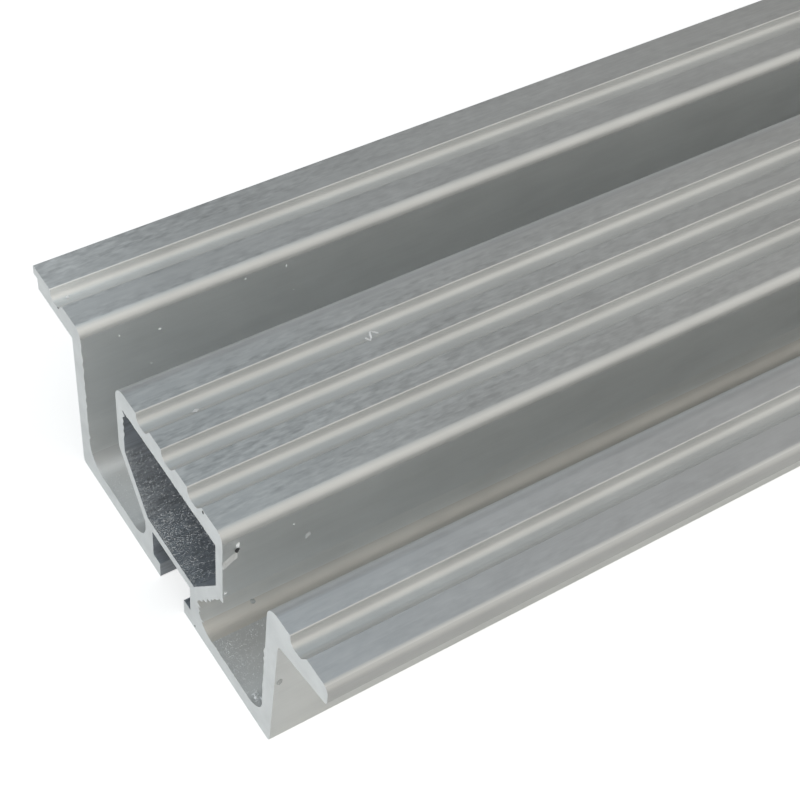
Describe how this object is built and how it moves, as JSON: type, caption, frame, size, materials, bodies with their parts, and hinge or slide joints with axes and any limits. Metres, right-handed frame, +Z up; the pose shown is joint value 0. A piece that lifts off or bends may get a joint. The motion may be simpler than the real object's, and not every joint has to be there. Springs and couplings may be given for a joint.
{
  "type": "lift door threshold sill",
  "caption": "Extruded aluminium door threshold with a ribbed tread, guide grooves, a hollow block and a bolt slot underneath.",
  "frame": {"origin": "middle of the underside", "axes": "X along the sill, -Y towards the front edge with the rounded nose, +Z up out of the tread"},
  "size_m": [0.8, 0.1, 0.0384],
  "materials": {
    "aluminium": "satin mill finish, saw-cut ends"
  },
  "bodies": {
    "root": {"sill_profile": "aluminium"}
  },
  "joints": []
}
